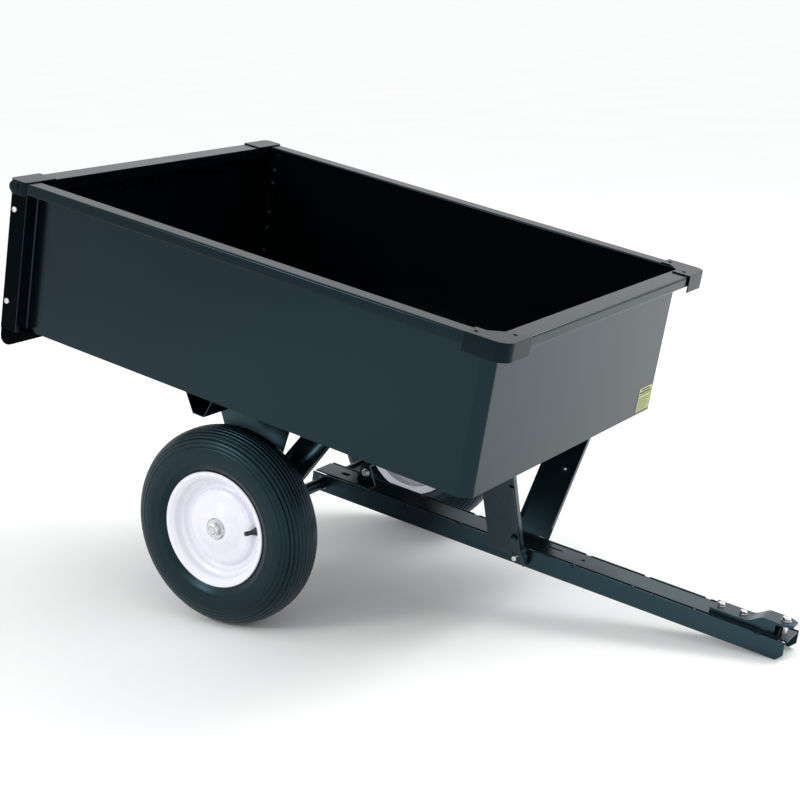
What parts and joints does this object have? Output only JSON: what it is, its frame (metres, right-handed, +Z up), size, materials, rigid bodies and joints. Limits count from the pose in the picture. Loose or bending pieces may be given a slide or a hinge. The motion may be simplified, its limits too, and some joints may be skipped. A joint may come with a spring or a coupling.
{
  "type": "tow behind cart",
  "caption": "Tow-behind dump cart: a straight-sided steel tub with a lift-out tailgate on pneumatic wheels, a splayed stand, a latch and a channel tongue with a pin hitch.",
  "frame": {"origin": "on the ground, under the middle of the cart's overall length and width, with the cart standing on its wheels and its tongue's nose", "axes": "+X forward to the hitch, +Y to the cart's left, +Z up"},
  "size_m": [1.5288, 0.844, 0.85],
  "materials": {
    "black_paint": "black powder coat, satin to gloss",
    "black_cap": "black moulded corner caps, fine grain",
    "zinc": "bright zinc plate",
    "white_paint": "gloss white enamel",
    "tyre": "ribbed black rubber",
    "valve_rubber": "smooth black rubber",
    "decal": "yellow-green printed film"
  },
  "bodies": {
    "chassis": {"tongue_channel": "black_paint", "tongue_gusset": "black_paint", "gusset_bolt": "zinc", "stand_stop_pin": "zinc", "axle_shaft": "black_paint", "hitch_strap": "black_paint", "hitch_bolt_rear": "zinc", "hitch_bolt_front": "zinc", "hitch_nut_rear": "zinc", "hitch_nut_front": "zinc", "axle_collar_left": "zinc", "axle_collar_right": "zinc", "wheel_washer_left": "zinc", "wheel_washer_right": "zinc", "wheel_nut_left": "zinc", "wheel_nut_right": "zinc"},
    "bed": {"tub_floor": "black_paint", "front_panel": "black_paint", "side_panel_left": "black_paint", "side_panel_right": "black_paint", "corner_cap_left": "black_cap", "corner_cap_right": "black_cap", "tailgate_guide_left": "black_paint", "tailgate_guide_right": "black_paint", "guide_bar_left": "black_paint", "guide_bar_right": "black_paint", "guide_screw_upper_left": "zinc", "guide_screw_upper_right": "zinc", "guide_screw_lower_left": "zinc", "guide_screw_lower_right": "zinc", "axle_support_left": "black_paint", "axle_support_right": "black_paint", "support_brace_left": "black_paint", "support_brace_right": "black_paint", "outrigger_left": "black_paint", "outrigger_right": "black_paint", "support_bolt_rear_left": "black_paint", "support_bolt_rear_right": "black_paint", "support_bolt_front_left": "black_paint", "support_bolt_front_right": "black_paint", "stand_leg_left": "black_paint", "stand_leg_right": "black_paint", "stand_bolt_left": "zinc", "stand_bolt_right": "zinc", "rear_sill": "black_paint", "latch_bolt": "black_paint", "safety_decal": "decal"},
    "tailgate": {"tailgate": "black_paint", "tailgate_cap_left": "black_cap", "tailgate_cap_right": "black_cap"},
    "latch": {"latch_lever": "black_paint"},
    "hitch_pin": {"hitch_pin": "zinc"},
    "wheel_left": {"tyre_left": "tyre", "wheel_rim_left": "white_paint", "wheel_hub_left": "white_paint", "valve_stem_left": "valve_rubber"},
    "wheel_right": {"tyre_right": "tyre", "wheel_rim_right": "white_paint", "wheel_hub_right": "white_paint", "valve_stem_right": "valve_rubber"}
  },
  "joints": [
    {"name": "wheel_left_spin", "type": "hinge", "parent": "chassis", "child": "wheel_left", "pos_m": [-0.24746, 0, 0.19718], "axis": [0, 1, 0], "continuous": true},
    {"name": "wheel_right_spin", "type": "hinge", "parent": "chassis", "child": "wheel_right", "pos_m": [-0.24746, 0, 0.19718], "axis": [0, 1, 0], "continuous": true},
    {"name": "bed_dump", "type": "hinge", "parent": "chassis", "child": "bed", "pos_m": [-0.24746, 0, 0.19718], "axis": [0, -1, 0], "range_deg": [0, 45]},
    {"name": "tailgate_slide", "type": "slide", "parent": "bed", "child": "tailgate", "axis": [0.2036, 0, 0.9791], "range_m": [0, 0.3]},
    {"name": "latch_swing", "type": "hinge", "parent": "bed", "child": "latch", "pos_m": [0.23005, -0.07967, 0.16779], "axis": [-0.0974, -0.8781, -0.4685], "range_deg": [0, 18], "stiffness_Nm_per_rad": 2, "springref_deg": -17.19},
    {"name": "hitch_pin_lift", "type": "slide", "parent": "chassis", "child": "hitch_pin", "axis": [0.1782, 0, 0.984], "range_m": [0, 0.075]}
  ]
}
